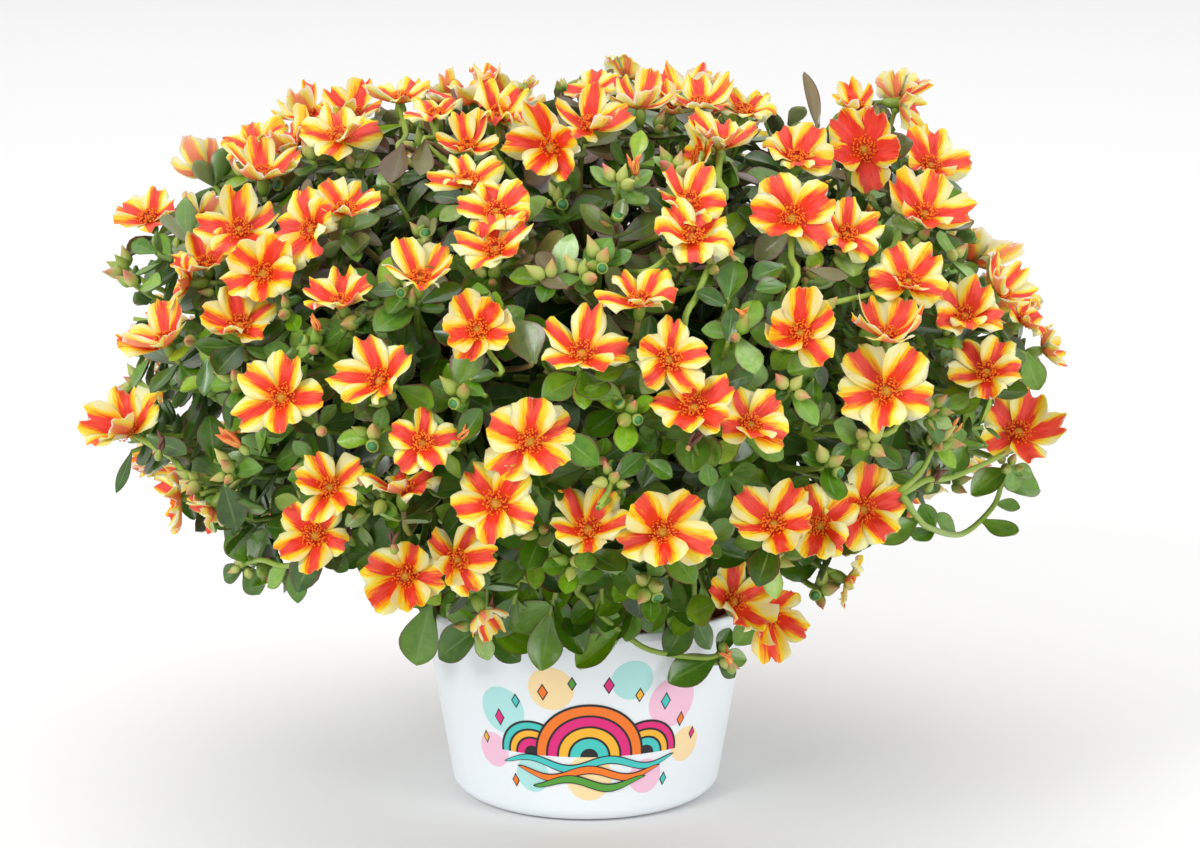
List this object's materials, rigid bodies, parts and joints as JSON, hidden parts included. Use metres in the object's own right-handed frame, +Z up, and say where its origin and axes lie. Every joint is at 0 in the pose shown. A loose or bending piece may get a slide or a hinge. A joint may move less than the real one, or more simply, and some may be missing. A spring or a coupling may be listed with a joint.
{
  "type": "potted portulaca",
  "caption": "Bushy flowering portulaca with striped, notched petals and fleshy leaves, in a growing pot inside a tapered cover pot.",
  "frame": {"origin": "on the pots' common axis, on the underside of the cover pot", "axes": "+Z up, +X to the right and -Y to the front, from which the plant is seen"},
  "size_m": [0.476, 0.4375, 0.364],
  "materials": {
    "cover_pot": "smooth moulded plastic, satin, white",
    "growing_pot": "matt terracotta-coloured plastic",
    "soil": "loose, moist potting soil",
    "plant": "fleshy green stems and leaves with satin, striped petals"
  },
  "bodies": {
    "root": {"cover_pot": "cover_pot", "growing_pot": "growing_pot", "soil": "soil", "flowering_stem_01": "plant", "flowering_stem_02": "plant", "flowering_stem_03": "plant", "flowering_stem_04": "plant", "flowering_stem_05": "plant", "flowering_stem_06": "plant", "flowering_stem_07": "plant", "flowering_stem_08": "plant", "flowering_stem_09": "plant", "flowering_stem_10": "plant", "flowering_stem_11": "plant", "flowering_stem_12": "plant", "flowering_stem_13": "plant"}
  },
  "joints": []
}
